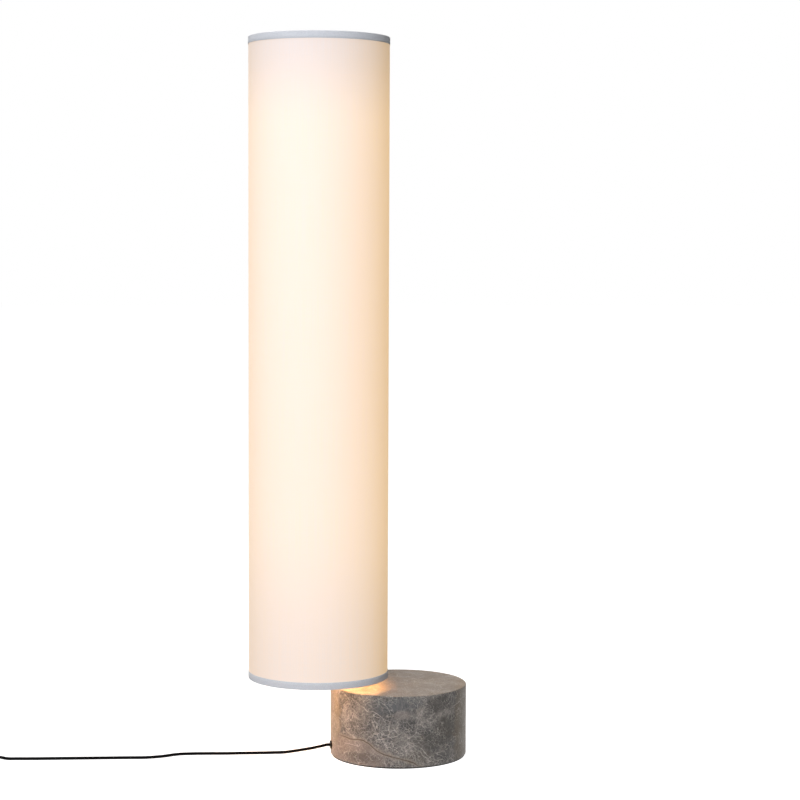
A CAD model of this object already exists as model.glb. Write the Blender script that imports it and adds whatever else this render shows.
"""Looks of the column floor lamp: a lit cotton column beside a round marble base.

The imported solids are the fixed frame. The cloth, the edge tapes, the cords, cores and leads, the
tie, the switch's spring and the plug's body are made here as numpy surfaces, and every other solid
keeps its mesh and gets a finish. Lengths are metres unless a name ends in _mm. The shade's axis,
the floor and the cord routes are those of the solids.
"""

import logging
import math
from dataclasses import dataclass
from enum import Enum

import bpy
import numpy as np
from mathutils import Matrix


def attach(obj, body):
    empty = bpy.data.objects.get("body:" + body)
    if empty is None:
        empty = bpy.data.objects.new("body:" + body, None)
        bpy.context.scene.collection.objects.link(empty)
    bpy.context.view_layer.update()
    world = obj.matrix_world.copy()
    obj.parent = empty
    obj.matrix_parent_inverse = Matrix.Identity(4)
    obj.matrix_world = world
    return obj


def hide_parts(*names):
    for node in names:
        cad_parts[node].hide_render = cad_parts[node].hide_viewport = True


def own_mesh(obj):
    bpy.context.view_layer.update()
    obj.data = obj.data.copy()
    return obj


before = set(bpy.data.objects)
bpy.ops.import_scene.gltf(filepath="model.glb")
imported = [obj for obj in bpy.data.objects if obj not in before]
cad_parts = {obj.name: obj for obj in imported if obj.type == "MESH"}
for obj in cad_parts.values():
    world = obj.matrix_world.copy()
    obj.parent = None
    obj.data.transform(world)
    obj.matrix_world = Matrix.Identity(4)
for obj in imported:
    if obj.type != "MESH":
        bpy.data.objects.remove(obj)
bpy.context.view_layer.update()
LOG = logging.getLogger("column_lamp")

MM = 0.001
FULL_TURN = 2.0 * math.pi
# The photograph looks at the lamp from this much to the left of the part's front
TURN = math.radians(-10.07)
# Nearly all of a noise texture's values lie between these
NOISE = (0.3, 0.7)
# Settings of nodes that several finishes share
SMOOTH = {"interpolation_type": "SMOOTHSTEP"}
COLOURS = {"data_type": "RGBA", "out": 2}

Colour = tuple[float, float, float, float]
Point = tuple[float, float, float]
Socket = bpy.types.NodeSocket


# ---- Nodes ----


def linear(code: str) -> Colour:
    """Turns an sRGB hex code into linear red, green, blue and full alpha.

    Args:
        code: the colour as "#rrggbb".

    Returns:
        Four numbers from 0 to 1: each channel is c / 12.92 below 0.04045, and otherwise
        ((c + 0.055) / 1.055) to the power of 2.4.
    """
    channels = [int(code[k:k + 2], 16) / 255.0 for k in (1, 3, 5)]
    bent = [c / 12.92 if c <= 0.04045 else ((c + 0.055) / 1.055) ** 2.4 for c in channels]
    return (bent[0], bent[1], bent[2], 1.0)


class Nodes:
    """The node tree of a material or of the world, built from its inputs to its end."""

    def __init__(self, owner: bpy.types.Material | bpy.types.World) -> None:
        """Takes the owner's node tree and empties it."""
        owner.use_nodes = True
        self.tree = owner.node_tree
        self.tree.nodes.clear()

    def add(
        self,
        kind: str,
        *first: object,
        at: dict[int, object] | None = None,
        out: int | str = 0,
        stops: list | None = None,
        points: list | None = None,
        **named: object,
    ) -> Socket | None:
        """Adds one node with its settings, its values and its links.

        A value is a socket to link, a number or vector to set, or a colour as "#rrggbb".

        Args:
            kind: the node's Blender name after "ShaderNode".
            first: values of its first inputs, in their order.
            at: values of other inputs, by number.
            out: the output that is wanted, by name or number.
            stops: the places and hex codes of a colour ramp, in rising order.
            points: the points of a float curve, in rising order.
            named: values of inputs, capitalised and with _ for a space, and the node's own
                settings, in small letters.

        Returns:
            The wanted output, or None from a node that ends a tree.
        """
        made = self.tree.nodes.new("ShaderNode" + kind)
        values = {**dict(enumerate(first)), **(at or {})}
        for name, value in named.items():
            if name[0].isupper():
                values[name.replace("_", " ")] = value
            else:
                setattr(made, name, value)
        if stops:
            ramp = made.color_ramp
            ramp.elements[0].position = stops[0][0]
            ramp.elements[-1].position = stops[-1][0]
            for place, _ in stops[1:-1]:
                ramp.elements.new(place)
            for element, (_, code) in zip(ramp.elements, stops):
                element.color = linear(code)
        if points:
            curve = made.mapping.curves[0]
            curve.points[0].location = points[0]
            curve.points[-1].location = points[-1]
            for place, height in points[1:-1]:
                curve.points.new(place, height)
            made.mapping.update()
        for name, value in values.items():
            if isinstance(value, Socket):
                self.tree.links.new(value, made.inputs[name])
            else:
                made.inputs[name].default_value = linear(value) if isinstance(value, str) else value
        return made.outputs[out] if made.outputs else None


# ---- Surfaces ----


def linked(name: str, data: bpy.types.ID) -> bpy.types.Object:
    """Makes an object of its data, at the origin, and links it to the scene."""
    made = bpy.data.objects.new(name, data)
    bpy.context.scene.collection.objects.link(made)
    return made


def arc_lengths(path: np.ndarray, closed: bool = False) -> np.ndarray:
    """The distance along a path at each of its points.

    Args:
        path: points, n by 3 or n by 2.
        closed: whether the last point joins the first again.

    Returns:
        n distances, or n + 1 where the path is closed: the running sum of the steps' lengths.
    """
    line = np.vstack([path, path[:1]]) if closed else path
    steps = np.linalg.norm(np.diff(line, axis=0), axis=1)
    return np.concatenate([[0.0], np.cumsum(steps)])


def surface(
    name: str,
    points: np.ndarray,
    u: np.ndarray,
    v: np.ndarray,
    round_u: bool = False,
    round_v: bool = False,
    caps: bool = False,
    sharp_deg: float = 40.0,
) -> bpy.types.Object:
    """Makes an object from a grid of points, with its faces outwards and a UV map in metres.

    The solid's volume is the sum of a . (b x c) / 6 over its triangles. Where that is negative,
    the faces point inwards and are all turned round.

    Args:
        name: the piece's name.
        points: n by m by 3, the surface at n steps of u and m steps of v.
        u: the rows' distances for the UV map, n of them, or n + 1 where round_u.
        v: the columns' distances, in the same way.
        round_u: whether the last row joins the first.
        round_v: whether the last column joins the first.
        caps: whether the two end rows are closed by flat faces.
        sharp_deg: edges that bend more than this are shaded sharp.

    Returns:
        The new object, linked to the scene, at the origin.
    """
    n, m = points.shape[:2]
    i = np.arange(n if round_u else n - 1)[:, None]
    j = np.arange(m if round_v else m - 1)[None, :]
    rows = np.stack(np.broadcast_arrays(i, i + 1, i + 1, i), -1)
    cols = np.stack(np.broadcast_arrays(j, j, j + 1, j + 1), -1)
    rows, cols = (grid.reshape(-1, 4) for grid in np.broadcast_arrays(rows, cols))
    quads = (rows % n) * m + cols % m
    flat = points.reshape(-1, 3)
    uv = np.stack([u[rows], v[cols]], -1)
    ends = [list(range(m)), list(range(n * m - 1, (n - 1) * m - 1, -1))] if caps else []
    centred = flat - flat.mean(0)
    a, b, c, d = (centred[quads[:, k]] for k in range(4))
    volume = (a * np.cross(b, c)).sum() + (a * np.cross(c, d)).sum()
    for face in ends:
        loop = centred[face]
        volume += (loop[0] * np.cross(loop[1:-1], loop[2:])).sum()
    if volume < 0.0:
        quads = quads[:, ::-1]
        uv = uv[:, ::-1]
        ends = [face[::-1] for face in ends]
    mesh = bpy.data.meshes.new(name)
    mesh.from_pydata(flat.tolist(), [], quads.tolist() + ends)
    layer = mesh.uv_layers.new(name="metres")
    corners = np.concatenate([uv.reshape(-1), np.zeros(4 * m if caps else 0)])
    layer.uv.foreach_set("vector", corners.astype(np.float32))
    mesh.shade_smooth()
    mesh.set_sharp_from_angle(angle=math.radians(sharp_deg))
    return linked(name, mesh)


def tangents(path: np.ndarray) -> np.ndarray:
    """The path's directions, each one long, from the point before to the point after."""
    ahead = np.gradient(path, axis=0)
    return ahead / np.linalg.norm(ahead, axis=1, keepdims=True)


def circle(radius: float, sides: int) -> np.ndarray:
    """The corners of a regular polygon of that radius, sides by 2."""
    angle = np.arange(sides) * FULL_TURN / sides
    return radius * np.stack([np.cos(angle), np.sin(angle)], -1)


def tube(
    name: str,
    path: np.ndarray,
    diameter: float,
    sides: int = 16,
    up: Point | np.ndarray = (0.0, 0.0, 1.0),
) -> bpy.types.Object:
    """Makes a round tube with closed ends: a ring carried along a path.

    At each point the side is up x tangent, made one long, and the lift is tangent x side. A
    ring point (p, q) goes to path + p side + q lift.

    Args:
        name: the piece's name.
        path: n by 3.
        diameter: the tube's diameter.
        sides: the ring's corners.
        up: a direction that the path never takes, or one for each of its points.

    Returns:
        The piece, with u along it and v round it.
    """
    ring = circle(diameter / 2, sides)
    tangent = tangents(path)
    side = np.cross(up, tangent)
    side /= np.linalg.norm(side, axis=1, keepdims=True)
    lift = np.cross(tangent, side)
    points = path[:, None] + ring[:, :1] * side[:, None] + ring[:, 1:] * lift[:, None]
    return surface(
        name, points, arc_lengths(path), arc_lengths(ring, True), round_v=True, caps=True,
        sharp_deg=60.0,
    )


def smooth_route(points: tuple[Point, ...], steps: int) -> np.ndarray:
    """The smooth curve through the route's points, whose first and last stretch stay straight.

    Between b and c, with a before and d after, a point a share t of the way is
    (2b + (c - a)t + (2a - 5b + 4c - d)t^2 + (3b - a - 3c + d)t^3) / 2.

    Args:
        points: the route in metres.
        steps: points for each stretch.

    Returns:
        The curve's points, as an array with three columns.
    """
    p = np.array(points)
    a, b, c, d = p[:-3, None], p[1:-2, None], p[2:-1, None], p[3:, None]
    t = (np.arange(steps) / steps)[None, :, None]
    middle = 0.5 * (
        2 * b + (c - a) * t + (2 * a - 5 * b + 4 * c - d) * t**2 + (3 * b - a - 3 * c + d) * t**3
    )
    first = p[0] + (p[1] - p[0]) * (np.arange(steps) / steps)[:, None]
    last = p[-2] + (p[-1] - p[-2]) * (np.arange(steps + 1) / steps)[:, None]
    return np.vstack([first, middle.reshape(-1, 3), last])


def rounded_route(points: list[Point] | tuple[Point, ...], passes: int = 3) -> np.ndarray:
    """Cuts a route's corners: each pass puts two points on every stretch, at 1/4 and 3/4 of it."""
    p = np.array(points)
    for _ in range(passes):
        cut = np.stack([0.75 * p[:-1] + 0.25 * p[1:], 0.25 * p[:-1] + 0.75 * p[1:]], 1)
        p = np.vstack([p[:1], cut.reshape(-1, 3)[1:-1], p[-1:]])
    return p


# ---- Finishes ----


class Look:
    """A finish: its name, and the inputs of one Principled shader."""

    name: str

    def sockets(self, nodes: Nodes, place: Socket) -> dict:
        """Builds the nodes before the shader.

        Args:
            nodes: the material's nodes.
            place: the place on the piece, in metres.

        Returns:
            The shader's inputs, by name with _ for a space.
        """
        raise NotImplementedError

    def build(self) -> bpy.types.Material:
        """Builds the node material."""
        material = bpy.data.materials.new(self.name)
        nodes = Nodes(material)
        place = nodes.add("TexCoord", out="Object")
        nodes.add("OutputMaterial", nodes.add("BsdfPrincipled", **self.sockets(nodes, place)))
        return material


@dataclass(frozen=True)
class Finish(Look):
    """A finish whose fine grain and faint clouds are noise in the piece's own place.

    Attributes:
        name: the real finish.
        base: its lighter colour, sRGB hex.
        deep: its darker colour, in pores, scratches and clouds.
        grain_mm: the size of the fine grain.
        rough: roughness from the grain's floor to its top.
        metal: 1 for bare metal.
        relief_mm: how deep the grain is.
        cloud_mm: the size of the colour clouds.
        stretch: how many times denser the grain is along X, Y and Z, which makes a turned
            or drawn surface.
    """

    name: str
    base: str
    deep: str
    grain_mm: float
    rough: tuple[float, float]
    metal: float = 0.0
    relief_mm: float = 0.01
    cloud_mm: float = 30.0
    stretch: Point = (1.0, 1.0, 1.0)

    def sockets(self, nodes: Nodes, place: Socket) -> dict:
        """Lets grain and clouds drive colour and roughness, and the grain alone the relief."""
        denser = tuple(s / (self.grain_mm * MM) for s in self.stretch)
        fine = nodes.add("Mapping", place, Scale=denser)
        grain = nodes.add("TexNoise", fine, Scale=1.0, Detail=3.0, out="Fac")
        cloud = nodes.add(
            "TexNoise", place, Scale=1.0 / (self.cloud_mm * MM), Detail=5.0, Roughness=0.6, out="Fac"
        )
        both = nodes.add("Mix", 0.55, at={2: grain, 3: cloud})
        return {
            "Base_Color": nodes.add("ValToRGB", both, stops=[(0.36, self.deep), (0.62, self.base)]),
            "Roughness": nodes.add("MapRange", both, *NOISE, *self.rough),
            "Normal": nodes.add("Bump", Height=grain, Distance=self.relief_mm * MM),
            "Metallic": self.metal,
        }


@dataclass(frozen=True)
class Tint:
    """A soft patch of another colour in the stone.

    Attributes:
        across: its middle over the width seen from the front, in metres.
        height: its middle's height.
        wide: half its width.
        high: half its height.
        share: its strength in the middle.
        colour: its colour, sRGB hex.
    """

    across: float
    height: float
    wide: float
    high: float
    share: float
    colour: str


@dataclass(frozen=True)
class VeinNet:
    """A net of pale veins where the cells of a jittered grid meet.

    Attributes:
        cell_mm: the cells' size.
        line_mm: half the soft width of a vein. Real hair veins are about 0.3 mm wide, and
            these are drawn wider so that they show.
        stretch: how many times longer the cells are along their slant.
        slant_deg: the slant's fall to the right.
        share: the veins' strength.
        gaps: the noise level where they begin to show and where they show fully.
    """

    cell_mm: float
    line_mm: float
    stretch: float
    slant_deg: float
    share: float
    gaps: tuple[float, float]


@dataclass(frozen=True)
class HonedMarble(Look):
    """Grey-brown marble, honed: mottled clouds, nets of hair veins and one rusty seam.

    Attributes:
        name: the real finish.
        base_r: the stone's radius.
        top: the height of its top face.
        top_colour: what the top face is warmed and paled with.
        top_share: the strength of that.
        seam: the rusty seam's height over the width seen from the front, both in metres.
        seam_lines: its pale band and the seam itself, as half width, strength and colour.
        strong_veins: the height of each of the strongest pale veins, like the seam's.
        strong_share: their strength.
        strong_colour: their colour.
        net_colour: the colour of the nets of veins.
        tints: the patches of other colours.
        nets: the nets of veins, widest first.
        tinted_at: how many nets lie under the tints.
    """

    name: str = "honed grey marble"
    base_r: float = 0.1145
    top: float = 0.121
    top_colour: str = "#bea68d"
    top_share: float = 0.30
    seam: tuple = (
        (-0.113, 0.046), (-0.088, 0.044), (-0.076, 0.043), (-0.060, 0.044), (-0.051, 0.041),
        (-0.038, 0.031), (-0.022, 0.023), (-0.005, 0.019), (0.015, 0.013), (0.025, 0.010),
        (0.036, 0.003), (0.113, -0.001),
    )
    seam_lines: tuple = ((0.006, 0.62, "#948779"), (0.0019, 0.97, "#3d3021"))
    strong_veins: tuple = (
        ((-0.113, 0.02), (0.000, 0.061), (0.018, 0.070), (0.031, 0.075), (0.042, 0.070),
         (0.052, 0.069), (0.062, 0.080), (0.0745, 0.087), (0.085, 0.089), (0.097, 0.097),
         (0.113, 0.112)),
        ((-0.113, 0.13), (-0.060, 0.100), (-0.010, 0.072), (0.030, 0.036), (0.070, 0.010),
         (0.113, -0.01)),
        ((-0.113, 0.14), (-0.036, 0.118), (-0.020, 0.100), (0.008, 0.056), (0.020, 0.040),
         (0.113, -0.02)),
    )
    strong_share: float = 0.65
    strong_colour: str = "#c6bdb3"
    net_colour: str = "#c4bbb2"
    tints: tuple = (
        Tint(-0.085, 0.014, 0.080, 0.036, 0.60, "#887970"),
        Tint(-0.058, 0.015, 0.034, 0.010, 0.70, "#544b45"),
        Tint(-0.066, 0.064, 0.020, 0.016, 0.70, "#4b4743"),
        Tint(-0.028, 0.102, 0.032, 0.015, 0.55, "#4b4c4c"),
        Tint(0.012, 0.108, 0.040, 0.014, 0.45, "#565859"),
        Tint(0.016, 0.071, 0.017, 0.015, 0.75, "#272625"),
        Tint(0.006, 0.091, 0.015, 0.009, 0.50, "#7f746e"),
        Tint(0.084, 0.062, 0.027, 0.026, 0.72, "#2b251b"),
        Tint(0.068, 0.104, 0.027, 0.015, 0.72, "#2f2b27"),
        Tint(0.052, 0.044, 0.034, 0.017, 0.65, "#3b3833"),
        Tint(0.032, 0.020, 0.028, 0.012, 0.55, "#524a41"),
        Tint(0.110, 0.060, 0.020, 0.100, 0.65, "#61513a"),
        Tint(-0.110, 0.075, 0.016, 0.060, 0.45, "#97835f"),
    )
    nets: tuple = (
        VeinNet(31.0, 0.6, 2.4, 40.0, 0.54, (0.46, 0.60)),
        VeinNet(17.0, 0.5, 1.9, -32.0, 0.58, (0.46, 0.60)),
        VeinNet(9.5, 0.38, 1.6, 50.0, 0.54, (0.44, 0.62)),
        VeinNet(5.0, 0.32, 1.4, 20.0, 0.52, (0.40, 0.60)),
    )
    tinted_at: int = 2

    def sockets(self, nodes: Nodes, place: Socket) -> dict:
        """Builds the stone from the inside out: clouds, veins, tints, seam, then the honing."""
        # Turned so that X runs across the photograph
        front = nodes.add("Mapping", place, Rotation=(0.0, 0.0, -TURN))
        bent = self._shaken(nodes, front, 45.0, 0.030)
        wavy = self._shaken(nodes, bent, 7.0, 0.0016)
        ragged = self._shaken(nodes, self._shaken(nodes, front, 16.0, 0.016), 5.0, 0.007)
        stone = self._clouds(nodes, bent, wavy)
        for number, net in enumerate(self.nets):
            if number == self.tinted_at:
                for tint in self.tints:
                    stone = self._tinted(nodes, ragged, stone, tint)
            stone = self._netted(nodes, wavy, stone, net, float(number))
        patchy = nodes.add("TexNoise", front, Scale=36.0, Detail=4.0, out="Fac")
        broken = nodes.add("MapRange", patchy, 0.40, 0.58)
        for heights in self.strong_veins:
            line = self._line(nodes, wavy, heights, 0.0010)
            share = nodes.add("Math", line, broken, operation="MULTIPLY")
            share = nodes.add("Math", share, self.strong_share, operation="MULTIPLY")
            stone = nodes.add("Mix", share, at={6: stone, 7: self.strong_colour}, **COLOURS)
        stone = self._topped(nodes, place, self._seamed(nodes, front, stone))
        # Honed: grit of 0.5 mm, patches of softer polish and hardly any relief
        grit = nodes.add("TexNoise", place, Scale=2000.0, Detail=2.0, out="Fac")
        polish = nodes.add("TexNoise", place, Scale=45.0, Detail=4.0, out="Fac")
        return {
            "Base_Color": stone,
            "Roughness": nodes.add("MapRange", polish, *NOISE, 0.42, 0.60),
            "Normal": nodes.add("Bump", Height=grit, Distance=0.03 * MM),
            "Specular_IOR_Level": 0.45,
        }

    def _shaken(self, nodes: Nodes, place: Socket, cell_mm: float, amount: float) -> Socket:
        """Moves a place about by noise: place + amount (noise - 1/2), for each axis."""
        noise = nodes.add(
            "TexNoise", place, Scale=1.0 / (cell_mm * MM), Detail=4.0, Roughness=0.6, out="Color"
        )
        centred = nodes.add("VectorMath", noise, (0.5, 0.5, 0.5), operation="SUBTRACT")
        shift = nodes.add("VectorMath", centred, Scale=amount, operation="SCALE")
        return nodes.add("VectorMath", place, shift, operation="ADD")

    def _clouds(self, nodes: Nodes, bent: Socket, wavy: Socket) -> Socket:
        """Mixes clouds of 45 mm with mottles of 14 mm and specks of 3 mm."""
        cloud, mottle, specks = (
            nodes.add("TexNoise", place, Scale=dense, Detail=detail, Roughness=rough, out="Fac")
            for place, dense, detail, rough in (
                (bent, 22.0, 6.0, 0.62), (bent, 70.0, 6.0, 0.7), (wavy, 300.0, 4.0, 0.75)
            )
        )
        fine = nodes.add("Mix", 0.70, at={2: mottle, 3: specks})
        total = nodes.add("Mix", 0.62, at={2: cloud, 3: fine})
        return nodes.add(
            "ValToRGB", total,
            stops=[
                (0.39, "#2b2926"), (0.455, "#454240"), (0.50, "#5a5652"), (0.545, "#726c66"),
                (0.62, "#938b83"),
            ],
        )

    def _tinted(self, nodes: Nodes, ragged: Socket, stone: Socket, tint: Tint) -> Socket:
        """Mixes a tint in: full within 0.60 of its half sizes, and gone beyond 1.05 of them."""
        middle = (tint.across, 0.0, tint.height)
        away = nodes.add("VectorMath", ragged, middle, operation="SUBTRACT")
        sizes = (1.0 / tint.wide, 0.0, 1.0 / tint.high)
        away = nodes.add("VectorMath", away, sizes, operation="MULTIPLY")
        away = nodes.add("VectorMath", away, out="Value", operation="LENGTH")
        share = nodes.add("MapRange", away, 0.60, 1.05, tint.share, 0.0, **SMOOTH)
        return nodes.add("Mix", share, at={6: stone, 7: tint.colour}, **COLOURS)

    def _netted(
        self, nodes: Nodes, wavy: Socket, stone: Socket, net: VeinNet, seed: float
    ) -> Socket:
        """Lays one net of veins over the stone, broken up by noise of its own."""
        slant = (0.0, -math.radians(net.slant_deg), 0.0)
        turned = nodes.add("Mapping", wavy, Rotation=slant)
        cells = 1.0 / (net.cell_mm * MM)
        sizes = (cells / net.stretch, cells, cells)
        longer = nodes.add("VectorMath", turned, sizes, operation="MULTIPLY")
        edge = nodes.add(
            "TexVoronoi", longer, Scale=1.0, out="Distance", feature="DISTANCE_TO_EDGE"
        )
        width = net.line_mm / net.cell_mm
        line = nodes.add("MapRange", edge, 0.0, width, net.share, 0.0, **SMOOTH)
        patchy = nodes.add(
            "TexNoise", wavy, W=seed, Scale=40.0, Detail=4.0, Roughness=0.7, out="Fac",
            noise_dimensions="4D",
        )
        shown = nodes.add("MapRange", patchy, *net.gaps, **SMOOTH)
        share = nodes.add("Math", line, shown, operation="MULTIPLY")
        return nodes.add("Mix", share, at={6: stone, 7: self.net_colour}, **COLOURS)

    def _line(self, nodes: Nodes, place: Socket, heights: tuple, width: float) -> Socket:
        """A thin sheet through the stone: 1 where |z - height(x)| is 0, and 0 from width on.

        Args:
            nodes: the material's nodes.
            place: the place in the stone, X across the photograph.
            heights: the sheet's height over X, both in metres.
            width: half the line's soft width in metres.

        Returns:
            The strength of the line.
        """
        across = nodes.add("SeparateXYZ", place, out="X")
        height = nodes.add("SeparateXYZ", place, out="Z")
        share = nodes.add("MapRange", across, -self.base_r, self.base_r)
        # The curve runs from 0 to 1 both ways: its height is (z + drop) / span
        span, drop = 0.16, 0.02
        points = [
            (min(max((x + self.base_r) / (2 * self.base_r), 0.0), 1.0), (z + drop) / span)
            for x, z in heights
        ]
        curve = nodes.add("FloatCurve", Value=share, points=points)
        sheet = nodes.add("Math", curve, span, -drop, operation="MULTIPLY_ADD")
        away = nodes.add("Math", height, sheet, operation="SUBTRACT")
        away = nodes.add("Math", away, operation="ABSOLUTE")
        return nodes.add("MapRange", away, 0.0, width, 1.0, 0.0, **SMOOTH)

    def _seamed(self, nodes: Nodes, front: Socket, stone: Socket) -> Socket:
        """Draws the rusty seam with a soft pale band beside it, uneven and fading at its ends."""
        place = self._shaken(nodes, front, 11.0, 0.004)
        across = nodes.add("SeparateXYZ", front, out="X")
        rises = nodes.add("MapRange", across, -0.108, -0.084, **SMOOTH)
        noise = nodes.add("TexNoise", front, Scale=70.0, Detail=4.0, out="Fac")
        uneven = nodes.add("MapRange", noise, 0.36, 0.58, 0.74, 1.0)
        shown = nodes.add("Math", rises, uneven, operation="MULTIPLY")
        for width, share, colour in self.seam_lines:
            line = self._line(nodes, place, self.seam, width)
            line = nodes.add("Math", line, shown, operation="MULTIPLY")
            line = nodes.add("Math", line, share, operation="MULTIPLY")
            stone = nodes.add("Mix", line, at={6: stone, 7: colour}, **COLOURS)
        return stone

    def _topped(self, nodes: Nodes, place: Socket, stone: Socket) -> Socket:
        """Warms and pales the top face, which is cut along the bed of the stone."""
        height = nodes.add("SeparateXYZ", place, out="Z")
        low, high = self.top - 0.0013, self.top - 0.0002
        share = nodes.add("MapRange", height, low, high, 0.0, self.top_share)
        return nodes.add("Mix", share, at={6: stone, 7: self.top_colour}, **COLOURS)


@dataclass(frozen=True)
class LitCotton(Look):
    """Off-white cotton on a stiff liner, lit from inside: warm glow plus the cloth's own colour.

    Attributes:
        name: the real finish.
        thread_mm: distance between threads. Real ones lie about 0.5 mm apart, and these are
            drawn coarser so that the weave shows.
        low: height of the shade's lower edge.
        high: height of its upper edge.
        fade_low: how far up from the lower edge the glow is weaker.
        fade_high: the same, down from the upper edge.
        glow_low: the glow at the lower edge, as a share of the middle's.
        glow_high: the same at the upper edge.
        glow: the colour of the light that comes through.
    """

    name: str = "plain woven cotton"
    thread_mm: float = 1.2
    low: float = 0.136
    high: float = 1.200
    fade_low: float = 0.30
    fade_high: float = 0.16
    glow_low: float = 0.79
    glow_high: float = 0.70
    glow: str = "#d9b06e"

    def sockets(self, nodes: Nodes, place: Socket) -> dict:
        """Weaves sine threads on the UV map in metres, with slubs, and lets the light through."""
        cloth = nodes.add("TexCoord", out="UV")
        rate = FULL_TURN / (self.thread_mm * MM)
        waves = []
        slubs = []
        for axis, dense in (("X", (700.0, 6.0, 1.0)), ("Y", (30.0, 700.0, 1.0))):
            along = nodes.add("SeparateXYZ", cloth, out=axis)
            turns = nodes.add("Math", along, rate, operation="MULTIPLY")
            waves.append(nodes.add("Math", turns, operation="SINE"))
            thread = nodes.add("Mapping", cloth, Scale=dense)
            slubs.append(nodes.add("TexNoise", thread, Scale=1.0, Detail=3.0, out="Fac"))
        weave = nodes.add("Math", *waves, operation="MULTIPLY")
        slub = nodes.add("Mix", 0.35, at={2: slubs[0], 3: slubs[1]})
        density = nodes.add("Math", weave, 0.05, slub, operation="MULTIPLY_ADD")
        height = nodes.add("SeparateXYZ", place, out="Z")
        rise = nodes.add(
            "MapRange", height, self.low, self.low + self.fade_low, self.glow_low, 1.0, **SMOOTH
        )
        fall = nodes.add(
            "MapRange", height, self.high - self.fade_high, self.high, 1.0, self.glow_high, **SMOOTH
        )
        through = nodes.add("MapRange", density, 0.35, 0.65, 1.08, 0.92)
        ends = nodes.add("Math", rise, fall, operation="MULTIPLY")
        return {
            "Base_Color": nodes.add("ValToRGB", density, stops=[(0.34, "#a8b2c6"), (0.62, "#b2bccf")]),
            "Roughness": 0.85,
            "Normal": nodes.add("Bump", Height=density, Distance=0.24 * MM),
            "Sheen_Weight": 0.15,
            "Sheen_Roughness": 0.5,
            "Specular_IOR_Level": 0.2,
            "Emission_Color": self.glow,
            "Emission_Strength": nodes.add("Math", ends, through, operation="MULTIPLY"),
        }


@dataclass(frozen=True)
class GlowingSkin(Look):
    """A white skin lit by the lamp, brighter low down, where it lights the stone.

    Attributes:
        name: the real finish.
        base: its own colour.
        glow: the colour of its light.
        bright: its strength in the lower half.
        dim: its strength at the top.
        rough: its roughness.
    """

    name: str
    base: str
    glow: str
    bright: float
    dim: float
    rough: float = 0.5

    def sockets(self, nodes: Nodes, place: Socket) -> dict:
        """Eases the strength from bright to dim between 0.55 and 1.0 m, with faint clouds."""
        height = nodes.add("SeparateXYZ", place, out="Z")
        strength = nodes.add("MapRange", height, 0.55, 1.0, self.bright, self.dim, **SMOOTH)
        cloud = nodes.add("TexNoise", place, Scale=60.0, Detail=4.0, out="Fac")
        even = nodes.add("MapRange", cloud, *NOISE, 0.96, 1.04)
        return {
            "Base_Color": nodes.add("ValToRGB", cloud, stops=[(0.3, self.base), (0.7, "#ffffff")]),
            "Roughness": self.rough,
            "Emission_Color": self.glow,
            "Emission_Strength": nodes.add("Math", strength, even, operation="MULTIPLY"),
        }


@dataclass(frozen=True)
class WovenTrim(Look):
    """A woven tape or band: ribs across it with fuzz between them.

    Attributes:
        name: the real finish.
        base: colour of the ribs.
        deep: colour between them.
        rib_mm: distance between ribs, drawn coarser than the real 0.7 mm so that they show.
        slant: how far the ribs lean over, as a share of the way along.
        relief_mm: how deep the ribs are.
    """

    name: str
    base: str
    deep: str
    rib_mm: float
    slant: float
    relief_mm: float

    def sockets(self, nodes: Nodes, place: Socket) -> dict:
        """Draws the ribs as the sine of u plus slant v, in turns of rib_mm."""
        trim = nodes.add("TexCoord", out="UV")
        along = nodes.add("SeparateXYZ", trim, out="X")
        across = nodes.add("SeparateXYZ", trim, out="Y")
        leaning = nodes.add("Math", across, self.slant, along, operation="MULTIPLY_ADD")
        rate = FULL_TURN / (self.rib_mm * MM)
        turns = nodes.add("Math", leaning, rate, operation="MULTIPLY")
        ribs = nodes.add("Math", turns, operation="SINE")
        fuzz = nodes.add("TexNoise", place, Scale=1100.0, Detail=3.0, out="Fac")
        height = nodes.add("Math", ribs, 0.3, fuzz, operation="MULTIPLY_ADD")
        return {
            "Base_Color": nodes.add("ValToRGB", height, stops=[(0.2, self.deep), (0.8, self.base)]),
            "Roughness": 0.82,
            "Normal": nodes.add("Bump", Height=height, Distance=self.relief_mm * MM),
            "Sheen_Weight": 0.25,
            "Specular_IOR_Level": 0.22,
        }


@dataclass(frozen=True)
class ExtrudedSheath(Look):
    """The PVC sheath of a cord or wire, extruded: satin, with faint lines along it.

    Attributes:
        name: the real finish.
        base: its lighter colour.
        deep: its darker colour.
        rough: its least and greatest roughness.
    """

    name: str
    base: str
    deep: str
    rough: tuple[float, float] = (0.38, 0.52)

    def sockets(self, nodes: Nodes, place: Socket) -> dict:
        """Draws die lines, noise dense round the cord and long along it, and dust clouds."""
        sheath = nodes.add("TexCoord", out="UV")
        drawn = nodes.add("Mapping", sheath, Scale=(25.0, 2500.0, 1.0))
        lines = nodes.add("TexNoise", drawn, Scale=1.0, Detail=3.0, out="Fac")
        dust = nodes.add("TexNoise", place, Scale=160.0, Detail=6.0, Roughness=0.7, out="Fac")
        both = nodes.add("Mix", 0.6, at={2: lines, 3: dust})
        return {
            "Base_Color": nodes.add("ValToRGB", both, stops=[(0.35, self.deep), (0.7, self.base)]),
            "Roughness": nodes.add("MapRange", both, *NOISE, *self.rough),
            "Normal": nodes.add("Bump", Height=lines, Distance=0.03 * MM),
            "Specular_IOR_Level": 0.05,
        }


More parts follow.
